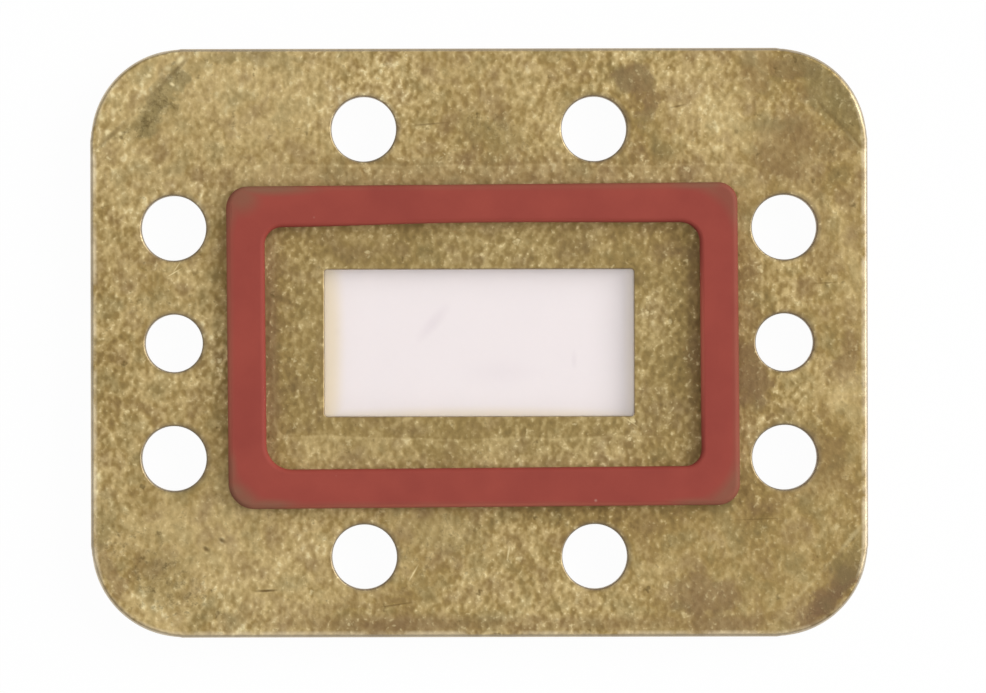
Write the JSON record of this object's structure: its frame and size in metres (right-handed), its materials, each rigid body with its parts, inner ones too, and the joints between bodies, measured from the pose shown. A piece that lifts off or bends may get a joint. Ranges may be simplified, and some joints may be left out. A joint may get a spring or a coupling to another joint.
{
  "type": "waveguide pressure window",
  "caption": "Flat brass flange plate with round corners, a rectangular aperture closed by a pale dielectric sheet, bolt holes along all four sides and a red rubber gasket on its front face.",
  "frame": {"origin": "centre of the plates' outline on the rear contact face", "axes": "+X along the long side of the flange and the guide's broad wall, +Y along its short side, +Z out of the front face, the side with the gasket"},
  "size_m": [0.054, 0.0408, 0.0048],
  "materials": {
    "brass_plate": "rolled, dull and stained",
    "window_sheet": "matt, translucent",
    "bonding_film": "satin",
    "red_rubber": "matt"
  },
  "bodies": {
    "root": {"front_plate": "brass_plate", "rear_plate": "brass_plate", "window_sheet": "window_sheet", "front_bond": "bonding_film", "rear_bond": "bonding_film", "gasket": "red_rubber"}
  },
  "joints": []
}
